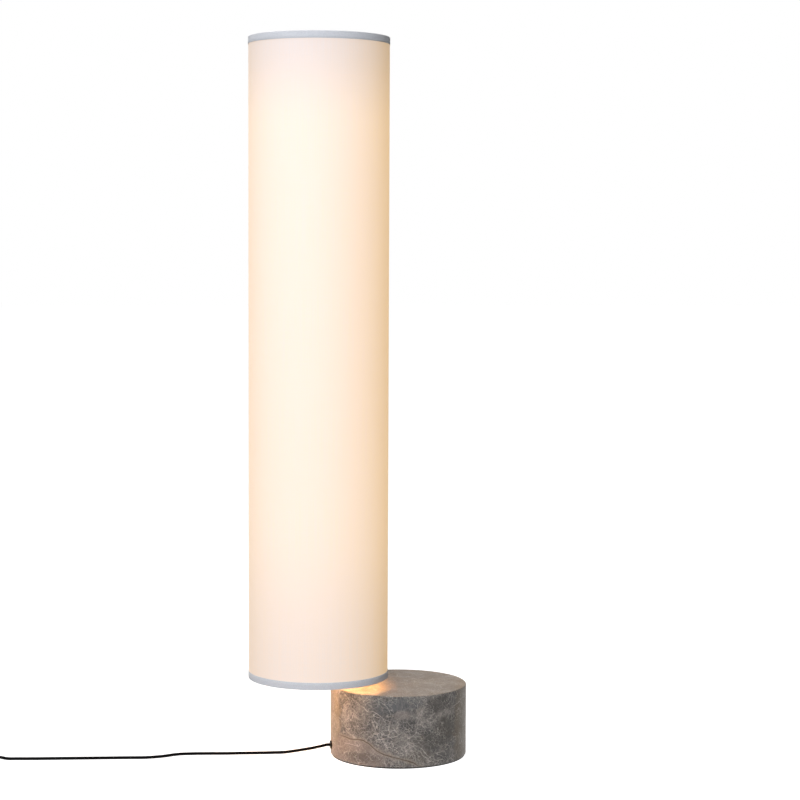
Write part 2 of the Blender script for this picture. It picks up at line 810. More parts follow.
@dataclass(frozen=True)
class SleevedPin(Look):
    """Nickel-plated plug pins, whose half nearer the body has a black moulded sleeve.

    Attributes:
        name: the real finish.
        sleeve_y: where the sleeve ends.
        sleeve: its colour.
    """

    name: str = "nickel-plated brass with a moulded sleeve"
    sleeve_y: float = -0.1265
    sleeve: str = "#17181a"

    def sockets(self, nodes: Nodes, place: Socket) -> dict:
        """Builds metal beyond sleeve_y and plastic before it, with drawn scratches."""
        along = nodes.add("SeparateXYZ", place, out="Y")
        bare = nodes.add("Math", along, self.sleeve_y, operation="LESS_THAN")
        drawn = nodes.add("Mapping", place, Scale=(4000.0, 200.0, 4000.0))
        grain = nodes.add("TexNoise", drawn, Scale=1.0, Detail=3.0, out="Fac")
        nickel = nodes.add("ValToRGB", grain, stops=[(0.3, "#b9b4aa"), (0.7, "#dcd8cf")])
        return {
            "Base_Color": nodes.add("Mix", bare, at={6: self.sleeve, 7: nickel}, **COLOURS),
            "Roughness": nodes.add("MapRange", bare, To_Min=0.55, To_Max=0.24),
            "Metallic": bare,
            "Normal": nodes.add("Bump", Height=grain, Distance=0.01 * MM),
        }


class Slot(Enum):
    """The record's material slots, each with the finish that its pieces take."""

    STONE = ("stone", HonedMarble())
    PAD = ("pad_rubber", Finish("cut EPDM rubber sheet", "#3a3835", "#232120", 0.8, (0.75, 0.95),
                                relief_mm=0.06))
    ZINC = ("zinc_steel", Finish("zinc-plated steel", "#b4b8bd", "#9296a0", 0.7, (0.26, 0.44),
                                 1.0, 0.006, 25.0, (1.0, 6.0, 1.0)))
    BLACK_STEEL = ("black_steel", Finish("black-oxide steel", "#3b3a39", "#242322", 0.5,
                                         (0.34, 0.5), 1.0, 0.01, 8.0))
    BRASS = ("brass", Finish("turned brass", "#c79a50", "#9c7433", 0.35, (0.22, 0.38), 1.0, 0.008,
                             12.0, (0.3, 0.3, 3.0)))
    BRONZE = ("bronze", Finish("dark patinated bronze", "#7d5437", "#4b3122", 0.8, (0.30, 0.48),
                               1.0, 0.008, 40.0, (3.0, 3.0, 0.15)))
    GLAND = ("gland_bronze", Finish("antiqued brass", "#292418", "#15120b", 0.4, (0.36, 0.54), 1.0,
                                    0.01, 6.0, (3.0, 0.3, 0.3)))
    BLACK_PAINT = ("black_paint", Finish("black powder coat on steel", "#3c3a39", "#2c2b2a", 1.1,
                                         (0.42, 0.58), 0.0, 0.05, 30.0))
    FRAME = ("frame_white", Finish("white powder coat on wire", "#ecebe7", "#dcdad4", 1.0,
                                   (0.38, 0.52), 0.0, 0.04, 20.0))
    PLASTIC = ("white_plastic", Finish("moulded white PBT", "#efede7", "#e2dfd6", 0.6,
                                       (0.34, 0.5), 0.0, 0.015, 15.0))
    BOARD = ("board_white", Finish("white solder mask", "#efeee8", "#dcd8c4", 2.5, (0.3, 0.45),
                                   0.0, 0.03, 7.0))
    GLASS = ("opal_glass", GlowingSkin("opal glass, lit", "#fbf3e2", "#ffd9a3", 9.0, 1.4, 0.25))
    CAP = ("cap_aluminium", Finish("drawn aluminium", "#cdd0d3", "#adb1b6", 0.5, (0.26, 0.42), 1.0,
                                   0.006, 14.0, (4.0, 4.0, 0.3)))
    LINER = ("liner_film", GlowingSkin("translucent polystyrene film, lit", "#f6ead2", "#ffcf90",
                                       0.6, 0.15, 0.6))
    CLOTH = ("shade_cotton", LitCotton())
    TAPE = ("edge_tape", WovenTrim("grosgrain edge tape", "#dfe0e4", "#bcbec3", 1.5, 0.0, 0.33))
    CORD = ("cord_black", ExtrudedSheath("black PVC sheath", "#0b0b0c", "#050505", (0.62, 0.78)))
    CORES = ("core_pvc", ExtrudedSheath("brown PVC core", "#6e4129", "#4a2a1a"))
    LEAD = ("lead_white", ExtrudedSheath("white silicone lead", "#e9e6dd", "#cfcabd", (0.5, 0.65)))
    RUBBER = ("black_rubber", Finish("moulded black rubber", "#262627", "#161617", 0.6,
                                     (0.6, 0.78), 0.0, 0.03, 8.0))
    SWITCH = ("switch_black", Finish("spark-eroded black ABS", "#2a2a2c", "#19191a", 0.55,
                                     (0.42, 0.62), 0.0, 0.05, 25.0))
    PLUG = ("plug_black", Finish("moulded black PVC", "#2a2a2c", "#18181a", 0.7, (0.45, 0.62),
                                 0.0, 0.04, 12.0))
    SPRING = ("spring_steel", Finish("drawn spring steel", "#b5b7b9", "#8b8e91", 0.3,
                                     (0.25, 0.4), 1.0))
    PINS = ("pin_nickel", SleevedPin())
    BAND = ("tie_fabric", WovenTrim("woven nylon band", "#3c3d40", "#161618", 1.0, 1.0, 0.29))

    def __init__(self, key: str, look: Look) -> None:
        """Names the two halves of the option: the record's name for the slot, and its finish."""
        self.key = key
        self.look = look


class Wardrobe:
    """Makes each finish once and puts it on CAD nodes and on new pieces."""

    def __init__(self) -> None:
        """Starts with no finish made."""
        self.made: dict[Slot, bpy.types.Material] = {}

    def material(self, slot: Slot) -> bpy.types.Material:
        """Returns the slot's material, made the first time it is asked for."""
        if slot not in self.made:
            self.made[slot] = slot.look.build()
        return self.made[slot]

    def dress(self, slot: Slot, *nodes: str) -> None:
        """Puts the slot's finish on the CAD nodes of those names, which have it in the record."""
        for name in nodes:
            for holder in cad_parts[name].material_slots:
                holder.material = self.material(slot)
            LOG.info("%s: %s", name, slot.look.name)

    def piece(self, made: bpy.types.Object, slot: Slot, *stands_for: str) -> bpy.types.Object:
        """Finishes a new piece: its material, slot, body and the CAD nodes that it replaces.

        Args:
            made: the new piece, which rides on the body that stands still.
            slot: the record's slot.
            stands_for: the CAD nodes that it stands for.

        Returns:
            The same piece.
        """
        made.data.materials.append(self.material(slot))
        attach(made, "stand")
        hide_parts(*stands_for)
        LOG.info("%s: %s, %d faces", made.name, slot.look.name, len(made.data.polygons))
        return made


# ---- Sub-assemblies ----


class Assembly:
    """A sub-assembly, with the finishes of its solids that keep their meshes."""

    FINISHES: dict[Slot, tuple[str, ...]] = {}

    def dress(self, wardrobe: Wardrobe) -> None:
        """Puts the finishes on the solids."""
        for slot, nodes in self.FINISHES.items():
            wardrobe.dress(slot, *nodes)

    def build(self, wardrobe: Wardrobe) -> None:
        """Makes the new pieces, of which a sub-assembly of solids alone has none."""


class StoneBase(Assembly):
    """The round marble base with its foot pad, pocket cover and fixings."""

    FINISHES = {
        Slot.STONE: ("stone_base",),
        Slot.PAD: ("foot_pad",),
        Slot.ZINC: ("base_cover", "cover_screws"),
        Slot.BRASS: ("screw_inserts",),
    }


class StemAndArms(Assembly):
    """The stem, its foot, and the two arms that hold the shade beside it."""

    FINISHES = {
        Slot.PAD: ("collar_gasket",),
        Slot.BRONZE: ("stem_foot", "stem_tube"),
        Slot.ZINC: ("clamp_washer", "clamp_nut"),
        Slot.BRASS: ("stem_plug", "nipples", "frame_nut", "finial"),
        Slot.BLACK_STEEL: ("arm_screw", "arm_set_screw"),
        Slot.BLACK_PAINT: ("lower_arm", "upper_arm"),
    }


@dataclass
class LightSource(Assembly):
    """The lamp tube between its two holders, and the two leads that come up the stem.

    Attributes:
        lead_d: diameter of a lead.
        stem_x: the stem's axis.
        shade_x: the shade's axis.
        holder_r: radius of a lampholder.
        lower: the lower lead from the terminal block into the stem.
        upper: the same of the upper lead.
    """

    FINISHES = {
        Slot.PLASTIC: ("lower_lampholder", "upper_lampholder", "lamp_rotors"),
        Slot.GLASS: ("lamp_tube",),
        Slot.BOARD: ("light_board",),
        Slot.CAP: ("lamp_caps",),
        Slot.BRASS: ("lamp_pins",),
    }

    lead_d: float = 0.0026
    stem_x: float = -0.062
    shade_x: float = -0.137
    holder_r: float = 0.016
    lower: tuple[Point, ...] = (
        (-0.0265, 0.0050, 0.0100), (-0.0265, 0.0140, 0.0100), (-0.0285, 0.0190, 0.0115),
        (-0.0340, 0.0220, 0.0150), (-0.0420, 0.0200, 0.0190), (-0.0500, 0.0130, 0.0225),
        (-0.0570, 0.0050, 0.0255), (-0.0605, 0.0005, 0.0275), (-0.0620, -0.00145, 0.0310),
        (-0.0620, -0.00145, 0.0360),
    )
    upper: tuple[Point, ...] = (
        (-0.0175, 0.0050, 0.0100), (-0.0175, 0.0150, 0.0100), (-0.0200, 0.0220, 0.0120),
        (-0.0280, 0.0270, 0.0165), (-0.0400, 0.0255, 0.0215), (-0.0510, 0.0165, 0.0260),
        (-0.0570, 0.0090, 0.0285), (-0.0605, 0.0040, 0.0298), (-0.0618, 0.0016, 0.0308),
        (-0.0620, 0.00145, 0.0340),
    )

    def build(self, wardrobe: Wardrobe) -> None:
        """Makes the two silicone leads as round tubes on the routes of their solids.

        The leads stand upright in the stem, so a tube's up is turned to never run along them: it
        is -(0.55, 0.15, 0.83 (1 - z^2)), where z is the height of the tangent.
        """
        for name, node, start, route in (
            ("lead_to_lower_holder", "lower_lead", self.lower,
             (-0.00145, 0.2125, 0.2040, -0.0012, 0.0035, 0.0003)),
            ("lead_to_upper_holder", "upper_lead", self.upper,
             (0.00145, 1.1155, 1.1320, 0.0035, -0.0045, -0.0005)),
        ):
            path = self._route(start, *route)
            steep = 1.0 - tangents(path)[:, 2:] ** 2
            up = -(np.array([0.55, 0.15, 0.0]) + np.array([0.0, 0.0, 0.83]) * steep)
            wardrobe.piece(tube(name, path, self.lead_d, 12, up), Slot.LEAD, node)

    def _route(
        self,
        start: tuple[Point, ...],
        side: float,
        exit_z: float,
        entry_z: float,
        sag: float,
        late: float,
        near: float,
    ) -> np.ndarray:
        """The route of one lead: start, up the stem, out of its side hole and to its holder.

        Args:
            start: its points from the terminal block into the stem.
            side: the lead's Y in the stem.
            exit_z: height of the side hole.
            entry_z: height where it enters the lampholder.
            sag: its height beside the hole against the hole, 22 mm out.
            late: its height against the entry, 38 mm out.
            near: the same, 8 mm before the holder.

        Returns:
            The rounded route.
        """
        x, shade, r = self.stem_x, self.shade_x, self.holder_r
        up = 1.0 if side < 0 else -1.0
        return rounded_route([
            *start,
            (x, side, exit_z - 0.0080), (x - 0.001, side, exit_z - 0.0035),
            (x - 0.004, side + 0.0002 * up, exit_z - 0.0005), (x - 0.010, side / 2, exit_z + 0.0004),
            (x - 0.022, 0.0, exit_z + sag), (x - 0.038, 0.0, entry_z + late),
            (shade + r + 0.008, 0.0, entry_z + near), (shade + r, 0.0, entry_z),
            (shade + r - 0.00395, 0.0, entry_z),
        ])


@dataclass
class Shade(Assembly):
    """The cotton column on its liner and frames, bound in tape at both edges.

    Attributes:
        axis_x: the shade's axis.
        low: height of its lower edge.
        high: height of its upper edge.
        inset: how far the cloth ends before the shade's edge.
        cloth_r: the cloth's outer radius.
        cloth_t: the cloth's thickness.
        lap: width of the glued lap, at the back.
        tape_w: width of the edge tape.
        tape_t: its thickness.
        tape_in: radius that it turns in to, under the wire ring.
        columns: points round the shade.
        rows: points up the cloth.
    """

    FINISHES = {
        Slot.LINER: ("shade_liner",),
        Slot.FRAME: ("lower_shade_frame", "upper_shade_frame"),
    }

    axis_x: float = -0.137
    low: float = 0.136
    high: float = 1.200
    inset: float = 0.00055
    cloth_r: float = 0.1165
    cloth_t: float = 0.00057
    lap: float = 0.012
    tape_w: float = 0.012
    tape_t: float = 0.0005
    tape_in: float = 0.11155
    columns: int = 384
    rows: int = 54

    def _turned(
        self, name: str, profile: np.ndarray, step: float, sharp_deg: float
    ) -> bpy.types.Object:
        """Turns a closed profile round the shade's axis, with a lap that stands proud behind.

        A point (r, z) at the angle a goes to (x + (r + step k) cos a, (r + step k) sin a, z),
        where k is 1 on the lap, drops sharply at its one side and eases to 0 over the lap's
        width again at the other, as a glued overlap does. The profile's inner points stay.

        Args:
            name: the piece's name.
            profile: m by 2, radius and height.
            step: how far the lap stands proud.
            sharp_deg: edges that bend more than this are shaded sharp.

        Returns:
            The piece, with u round it and v along the profile.
        """
        start = math.radians(90.0) + TURN
        angle = start + np.arange(self.columns) * FULL_TURN / self.columns
        away = (angle - start) * self.cloth_r
        proud = step * np.clip(2.0 - away / self.lap, 0.0, 1.0)
        outer = profile[:, 0] > profile[:, 0].mean()
        radius = profile[None, :, 0] + proud[:, None] * outer[None, :]
        points = np.stack([
            self.axis_x + radius * np.cos(angle)[:, None],
            radius * np.sin(angle)[:, None],
            np.broadcast_to(profile[None, :, 1], radius.shape),
        ], -1)
        round_it = np.arange(self.columns + 1) * FULL_TURN * self.cloth_r / self.columns
        return surface(
            name, points, round_it, arc_lengths(profile, True), round_u=True, round_v=True,
            sharp_deg=sharp_deg,
        )

    def build(self, wardrobe: Wardrobe) -> None:
        low, high = self.low + self.inset, self.high - self.inset
        heights = np.linspace(low, high, self.rows)
        inner = self.cloth_r - self.cloth_t
        profile = np.vstack([
            np.stack([np.full_like(heights, self.cloth_r), heights], -1),
            [[inner, high], [inner, low]],
        ])
        cloth = self._turned("shade_cloth", profile, 0.0003, 50.0)
        wardrobe.piece(cloth, Slot.CLOTH, "shade_fabric")
        for name, node, edge, up in (
            ("lower_edge_tape", "bottom_trim", self.low, 1.0),
            ("upper_edge_tape", "top_trim", self.high, -1.0),
        ):
            tape = self._turned(name, self._tape_profile(edge, up), 0.0004, 45.0)
            wardrobe.piece(tape, Slot.TAPE, node)

    def _tape_profile(self, edge: float, up: float) -> np.ndarray:
        """The tape's section, folded over the shade's edge with a bend of 0.9 mm.

        Args:
            edge: height of the shade's edge.
            up: 1 for the lower tape and -1 for the upper.

        Returns:
            The closed section as radius and height: up the outside, round the bend and in.
        """
        outer = self.cloth_r + 0.00005 + self.tape_t
        inner = outer - self.tape_t
        bend = 0.0009
        angle = np.radians(np.arange(0.0, 91.0, 15.0))
        turn_out, turn_in = (
            np.stack([outer - bend + r * np.cos(angle), bend - r * np.sin(angle)], -1)
            for r in (bend, bend - self.tape_t)
        )
        w, chamfer = self.tape_w, 0.0001
        rows = np.vstack([
            [[inner, w], [outer - chamfer, w], [outer, w - chamfer], [outer, w * 0.6],
             [outer, w * 0.3]],
            turn_out,
            [[self.tape_in, 0.0], [self.tape_in, self.tape_t]],
            turn_in[::-1],
            [[inner, w * 0.3], [inner, w * 0.6]],
        ])
        rows[:, 1] = edge + up * rows[:, 1]
        return rows


@dataclass
class CordEntry(Assembly):
    """The gland in the stone and the wiring in the pocket behind it.

    Attributes:
        cord_d: the cord's diameter.
        core_d: diameter of a core.
        tail: the cord's route from the gland to its end.
        live: the live core's route to the terminal block.
        neutral: the neutral core's route.
    """

    FINISHES = {
        Slot.GLAND: ("cord_gland",),
        Slot.ZINC: ("gland_nut", "terminal_screws"),
        Slot.PLASTIC: ("cord_grip", "terminal_block"),
    }

    cord_d: float = 0.005
    core_d: float = 0.0022
    tail: tuple[Point, ...] = (
        (-0.1167, 0.0, 0.0186), (-0.0753, 0.0, 0.0186), (-0.066, -0.0025, 0.018),
        (-0.057, -0.008, 0.016), (-0.048, -0.015, 0.0143), (-0.041, -0.0205, 0.011),
        (-0.037, -0.0235, 0.010), (-0.033, -0.0235, 0.010),
    )
    live: tuple[Point, ...] = (
        (-0.033, -0.02225, 0.010), (-0.0305, -0.02225, 0.010), (-0.0277, -0.0205, 0.010),
        (-0.0265, -0.017, 0.010), (-0.0265, -0.014, 0.010), (-0.0265, -0.005, 0.010),
    )
    neutral: tuple[Point, ...] = (
        (-0.033, -0.02475, 0.010), (-0.027, -0.02475, 0.010), (-0.0215, -0.0235, 0.010),
        (-0.0185, -0.0205, 0.010), (-0.0175, -0.016, 0.010), (-0.0175, -0.005, 0.010),
    )

    def build(self, wardrobe: Wardrobe) -> None:
        """Makes the cord's tail and its two cores as round tubes on their solids' routes."""
        for name, node, slot, route, diameter, sides in (
            ("inner_cord", "cord_tail", Slot.CORD, self.tail, self.cord_d, 16),
            ("live_core", "cord_cores", Slot.CORES, self.live, self.core_d, 12),
            ("neutral_core", "cord_cores", Slot.CORES, self.neutral, self.core_d, 12),
        ):
            wardrobe.piece(tube(name, rounded_route(route), diameter, sides), slot, node)


@dataclass
class FootSwitch(Assembly):
    """The foot switch on the cord, with its spring-loaded button.

    Attributes:
        centre: the middle of the housing, at the height of the cord.
        lead_d: diameter of the leads inside.
        lead_x: where the leads begin and end, out from the middle.
        spring_d: outer diameter of the spring.
        wire_d: diameter of its wire.
        spring_low: height of its lower end, on the contact block.
        spring_high: height of its upper end, under the button.
        turns: its turns.
        travel: how far the button goes down.
    """

    FINISHES = {
        Slot.SWITCH: ("switch_base", "switch_cover", "switch_button"),
        Slot.RUBBER: ("switch_reliefs", "switch_feet"),
        Slot.PLASTIC: ("switch_block",),
        Slot.ZINC: ("switch_screws",),
    }

    centre: Point = (-0.742, 0.052, 0.0075)
    lead_d: float = 0.004
    lead_x: tuple[float, float] = (0.01105, 0.031)
    spring_d: float = 0.012
    wire_d: float = 0.0008
    spring_low: float = 0.01105
    spring_high: float = 0.01775
    turns: int = 4
    travel: float = 0.003

    def build(self, wardrobe: Wardrobe) -> None:
        """Makes the two short leads inside the housing, and the spring under the button."""
        x, y, z = self.centre
        near, far = self.lead_x
        for name, start, end in (("switch_lead_in", near, far), ("switch_lead_out", -far, -near)):
            across = np.linspace(x + start, x + end, 5)
            path = np.stack([across, np.full(5, y), np.full(5, z)], -1)
            wardrobe.piece(tube(name, path, self.lead_d, 12), Slot.CORD, "switch_leads")
        spring = tube("button_spring", self._helix(), self.wire_d, 12)
        wardrobe.piece(spring, Slot.SPRING, "switch_spring")
        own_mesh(spring)

    def _helix(self) -> np.ndarray:
        """The spring's line: radius (spring_d - wire_d) / 2, rising evenly over its turns."""
        x, y, _ = self.centre
        share = np.linspace(0.0, 1.0, 32 * self.turns + 1)
        angle = FULL_TURN * self.turns * share
        radius = (self.spring_d - self.wire_d) / 2
        low, high = self.spring_low + self.wire_d / 2, self.spring_high - self.wire_d / 2
        return np.stack([
            x + radius * np.cos(angle), y + radius * np.sin(angle), low + (high - low) * share,
        ], -1)


@dataclass
class CordTie:
    """The woven tie round both layers of the coil, with its overlapping end on top.

    Attributes:
        outward_deg: its direction from the coil's middle.
        middle: its middle's distance from the coil's.
        half_w: half the width of its line across the coil.
        half_h: half that line's height.
        bend: radius of the line's corners.
        width: the band's width.
        thick: its thickness.
        edge: the chamfer at its edges.
        lap_from: where the overlapping end begins, from its middle.
    """

    outward_deg: float = -135.0
    middle: float = 0.03 - 0.00002
    half_w: float = 0.01298
    half_h: float = 0.00605
    bend: float = 0.0034
    width: float = 0.008
    thick: float = 0.0008
    edge: float = 0.0003
    lap_from: float = -0.006

    def build(self, x: float, y: float) -> bpy.types.Object:
        """Makes the band round a coil, of a section carried along a rounded rectangle.

        Each quarter of the line is an arc of the bend's radius, with straight rows between. A
        section point (p, q) goes p along the coil and q outwards, and the q of an outer point
        grows by one thickness on the lap.

        Args:
            x: the coil's middle.
            y: the same.

        Returns:
            The piece.
        """
        corner = np.radians(np.arange(0.0, 91.0, 11.25))
        line = np.vstack([
            np.stack([
                sx * (self.half_w - self.bend) + self.bend * np.cos(corner + quarter),
                sz * (self.half_h - self.bend) + self.bend * np.sin(corner + quarter),
            ], -1)
            for sx, sz, quarter in (
                (1, 1, 0.0), (-1, 1, math.pi / 2), (-1, -1, math.pi), (1, -1, 1.5 * math.pi)
            )
        ])
        w, h, edge = self.width / 2, self.thick / 2, self.edge
        section = np.array([
            (-w, -h + edge), (-w + edge, -h), (w - edge, -h), (w, -h + edge),
            (w, h - edge), (w - edge, h), (-w + edge, h), (-w, h - edge),
        ])
        ahead = np.roll(line, -1, 0) - np.roll(line, 1, 0)
        ahead /= np.linalg.norm(ahead, axis=1, keepdims=True)
        normal = np.stack([ahead[:, 1], -ahead[:, 0]], -1)
        on_top = np.clip((line[:, 1] - self.half_h * 0.98) * 1e5, 0.0, 1.0)
        lap = on_top * (line[:, 0] > self.lap_from)
        out = section[None, :, 1] + lap[:, None] * (section[None, :, 1] > 0.0) * self.thick
        flat = line[:, None] + out[..., None] * normal[:, None]
        across = section[None, :, 0]
        radial = self.middle + flat[..., 0]
        outward = math.radians(self.outward_deg)
        points = np.stack([
            x + radial * math.cos(outward) - across * math.sin(outward),
            y + radial * math.sin(outward) + across * math.cos(outward),
            flat[..., 1] + self.half_h + self.thick / 2,
        ], -1)
        return surface(
            "cord_band", points, arc_lengths(line, True), arc_lengths(section, True),
            round_u=True, round_v=True,
        )


@dataclass
class PlugShell:
    """The plug's moulded body.

    Attributes:
        back: the middle of its back face, where the cord comes in.
        rows_mm: distance from the back, half width and half height in mm, and the power of
            the corners: 1 is an ellipse and less is squarer.
        steps: rows along it.
        sides: points round it.
    """

    back: Point = (-0.702, -0.081, 0.00685)
    rows_mm: tuple = (
        (0.0, 6.4, 5.6, 0.95), (0.6, 6.9, 6.1, 0.92), (3.0, 8.1, 6.5, 0.85), (6.0, 9.4, 6.7, 0.8),
        (9.0, 10.4, 6.8, 0.75), (12.0, 11.1, 6.85, 0.7), (15.0, 11.4, 6.85, 0.66),
        (19.0, 11.4, 6.85, 0.62), (23.0, 11.5, 6.85, 0.6), (25.5, 12.1, 6.85, 0.57),
        (27.5, 12.8, 6.85, 0.55), (29.5, 13.0, 6.85, 0.55), (34.2, 13.0, 6.85, 0.55),
        (35.2, 12.8, 6.65, 0.55), (35.8, 12.3, 6.15, 0.55), (36.0, 11.7, 5.6, 0.55),
    )
    steps: int = 46
    sides: int = 64

    def build(self) -> bpy.types.Object:
        """Makes the body of superellipses carried along -Y.

        At a distance s from the back, a point at the angle a is (w |cos a|^p, h |sin a|^p), with
        the signs of the cosine and the sine. The half width w, the half height h and the power p
        come from the rows, and the last rows draw in to round the front edge.
        """
        x, y, z = self.back
        rows = np.array(self.rows_mm)
        steps, count = np.linspace(0, 1, self.steps), np.linspace(0, 1, len(rows))
        along = np.interp(steps, count, rows[:, 0])
        w, h, p = (np.interp(along, rows[:, 0], rows[:, k])[:, None] for k in (1, 2, 3))
        angle = (np.arange(self.sides) + 0.5)[None] * FULL_TURN / self.sides
        cos, sin = np.cos(angle), np.sin(angle)
        points = np.stack([
            x + MM * w * np.sign(cos) * np.abs(cos) ** p,
            np.broadcast_to(y - MM * along[:, None], (self.steps, self.sides)),
            z + MM * h * np.sign(sin) * np.abs(sin) ** p,
        ], -1)
        return surface(
            "plug_shell", points, along * MM, np.arange(self.sides + 1) * MM, round_v=True,
            caps=True, sharp_deg=50.0,
        )


@dataclass
class MainsCord(Assembly):
    """The mains cord: the run to the foot switch, and the stored length with its plug.

    Attributes:
        cord_d: the cord's diameter.
        run: the route from the gland to the foot switch.
        lead: the route from the switch to the coil.
        end: the route from the coil to the plug.
        coil_centre: the coil's middle and the height of its lower layer.
        coil_in: radius of its innermost turn.
        pitch: distance between turns and layers.
        turns: turns in each layer.
        soft: how softly the spiral turns back in the middle, in turns.
        switch_nodes: the foot switch's solids, which hang on the run.
        switch_pieces: its new pieces.
    """

    FINISHES = {Slot.RUBBER: ("plug_relief",), Slot.PINS: ("plug_pins",)}

    cord_d: float = 0.005
    run: tuple[Point, ...] = (
        (-0.1167, 0.0, 0.0186), (-0.1217, 0.0, 0.0186), (-0.133, 0.002, 0.0159),
        (-0.147, 0.006, 0.0123), (-0.160, 0.010, 0.0096), (-0.176, 0.015, 0.0064),
        (-0.192, 0.020, 0.0037), (-0.209, 0.025, 0.0026), (-0.235, 0.027, 0.0025),
        (-0.262, 0.030, 0.0025), (-0.289, 0.032, 0.0025), (-0.316, 0.036, 0.0025),
        (-0.342, 0.039, 0.0025), (-0.369, 0.039, 0.0025), (-0.397, 0.028, 0.0025),
        (-0.424, 0.024, 0.0025), (-0.450, 0.027, 0.0025), (-0.476, 0.030, 0.0025),
        (-0.503, 0.033, 0.0025), (-0.529, 0.036, 0.0025), (-0.555, 0.039, 0.0025),
        (-0.582, 0.042, 0.0025), (-0.608, 0.045, 0.0025), (-0.634, 0.049, 0.0025),
        (-0.652, 0.051, 0.0029), (-0.666, 0.052, 0.0058), (-0.676, 0.052, 0.0075),
        (-0.681, 0.052, 0.0075),
    )
    lead: tuple[Point, ...] = (
        (-0.803, 0.052, 0.0075), (-0.808, 0.052, 0.0075), (-0.820, 0.050, 0.0046),
        (-0.831, 0.043, 0.0027), (-0.838, 0.031, 0.0025), (-0.839, 0.018, 0.0025),
        (-0.834, 0.006, 0.0025), (-0.823, -0.001, 0.0028), (-0.809, -0.004, 0.0032),
        (-0.790, -0.00244, 0.0035), (-0.770, -0.00244, 0.0035), (-0.765, -0.00244, 0.0035),
    )
    end: tuple[Point, ...] = (
        (-0.755, -0.00244, 0.0091), (-0.750, -0.00244, 0.0091), (-0.739, -0.00294, 0.0088),
        (-0.728, -0.006, 0.0076), (-0.714, -0.014, 0.0065), (-0.705, -0.028, 0.0066),
        (-0.702, -0.046, 0.00685), (-0.702, -0.056, 0.00685),
    )
    coil_centre: Point = (-0.760, -0.042, 0.0035)
    coil_in: float = 0.0204
    pitch: float = 0.0056
    turns: float = 3.5
    soft: float = 0.08
    switch_nodes: tuple[str, ...] = (
        "switch_reliefs", "switch_base", "switch_cover", "switch_button", "switch_block",
        "switch_screws", "switch_feet",
    )
    switch_pieces: tuple[str, ...] = ("switch_lead_in", "switch_lead_out", "button_spring")

    def _coil(self) -> np.ndarray:
        """The coil's route: in over the lower layer, up in the middle, and out over the upper.

        For t from -turns to turns, the angle is 90 degrees less a full turn for each unit of
        t + turns, the radius is coil_in + pitch (sqrt(t^2 + soft^2) - soft), and the height
        rises by one pitch on a smooth step while t goes from -1/4 to 1/4.
        """
        x, y, z = self.coil_centre
        t = np.arange(-self.turns, self.turns + 1e-9, 1.0 / 48.0)
        angle = math.radians(90.0) - FULL_TURN * (t + self.turns)
        radius = self.coil_in + self.pitch * (np.sqrt(t**2 + self.soft**2) - self.soft)
        share = np.clip(2.0 * t + 0.5, 0.0, 1.0)
        return np.stack([
            x + radius * np.cos(angle), y + radius * np.sin(angle),
            z + self.pitch * share**2 * (3.0 - 2.0 * share),
        ], -1)

    def build(self, wardrobe: Wardrobe) -> None:
        run = smooth_route(self.run, 6)
        first = tube("mains_cord", run, self.cord_d)
        wardrobe.piece(first, Slot.CORD, "cord_run")
        switch = [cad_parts[name] for name in self.switch_nodes]
        switch += [bpy.data.objects[name] for name in self.switch_pieces]
        stored = np.vstack([smooth_route(self.lead, 4), self._coil(), smooth_route(self.end, 4)])
        second = tube("stored_cord", stored, self.cord_d, 12)
        wardrobe.piece(second, Slot.CORD, "cord_lead", "cord_coil", "cord_end")
        band = wardrobe.piece(CordTie().build(*self.coil_centre[:2]), Slot.BAND, "cord_tie")
        shell = wardrobe.piece(PlugShell().build(), Slot.PLUG, "plug_body")


# ---- Studio ----


@dataclass
class Viewpoint:
    """The camera where the photograph was taken from.

    Attributes:
        distance: from the part's origin along the floor.
        height: above the floor.
        yaw: turn to the right of the origin, in radians.
        pitch: downwards, in radians.
        roll: anticlockwise, in radians.
        lens: focal length in mm.
        sensor: the sensor's width in mm.
    """

    distance: float = 3.5695
    height: float = 0.84653
    yaw: float = 0.0001933
    pitch: float = 0.06888
    roll: float = 0.0041305
    lens: float = 95.97
    sensor: float = 36.0

    def build(self) -> None:
        """Places the camera: forward is yawed and pitched, then the frame is rolled."""
        forward = np.array([
            math.sin(self.yaw) * math.cos(self.pitch), math.cos(self.yaw) * math.cos(self.pitch),
            -math.sin(self.pitch),
        ])
        right = np.array([math.cos(self.yaw), -math.sin(self.yaw), 0.0])
        up = np.cross(right, forward)
        cos, sin = math.cos(self.roll), math.sin(self.roll)
        axes = np.stack([cos * right + sin * up, cos * up - sin * right, -forward], 1)
        data = bpy.data.cameras.new("photograph")
        data.lens = self.lens
        data.sensor_width = self.sensor
        data.clip_end = 200.0
        camera = linked("photograph", data)
        place = Matrix.Translation((0.0, -self.distance, self.height))
        turned = Matrix.Rotation(TURN, 4, "Z") @ place
        camera.matrix_world = turned @ Matrix(axes.tolist()).to_4x4()
        bpy.context.scene.camera = camera


@dataclass(frozen=True)
class Light:
    """A light of the studio.

    Attributes:
        name: its name.
        watts: its power.
        colour: its colour, sRGB hex.
    """

    name: str
    watts: float
    colour: str

    def _hung(self, kind: str) -> bpy.types.Object:
        """Makes the light, of one of Blender's kinds, and links it to the scene."""
        data = bpy.data.lights.new(self.name, kind)
        data.energy = self.watts
        data.color = linear(self.colour)[:3]
        return linked(self.name, data)


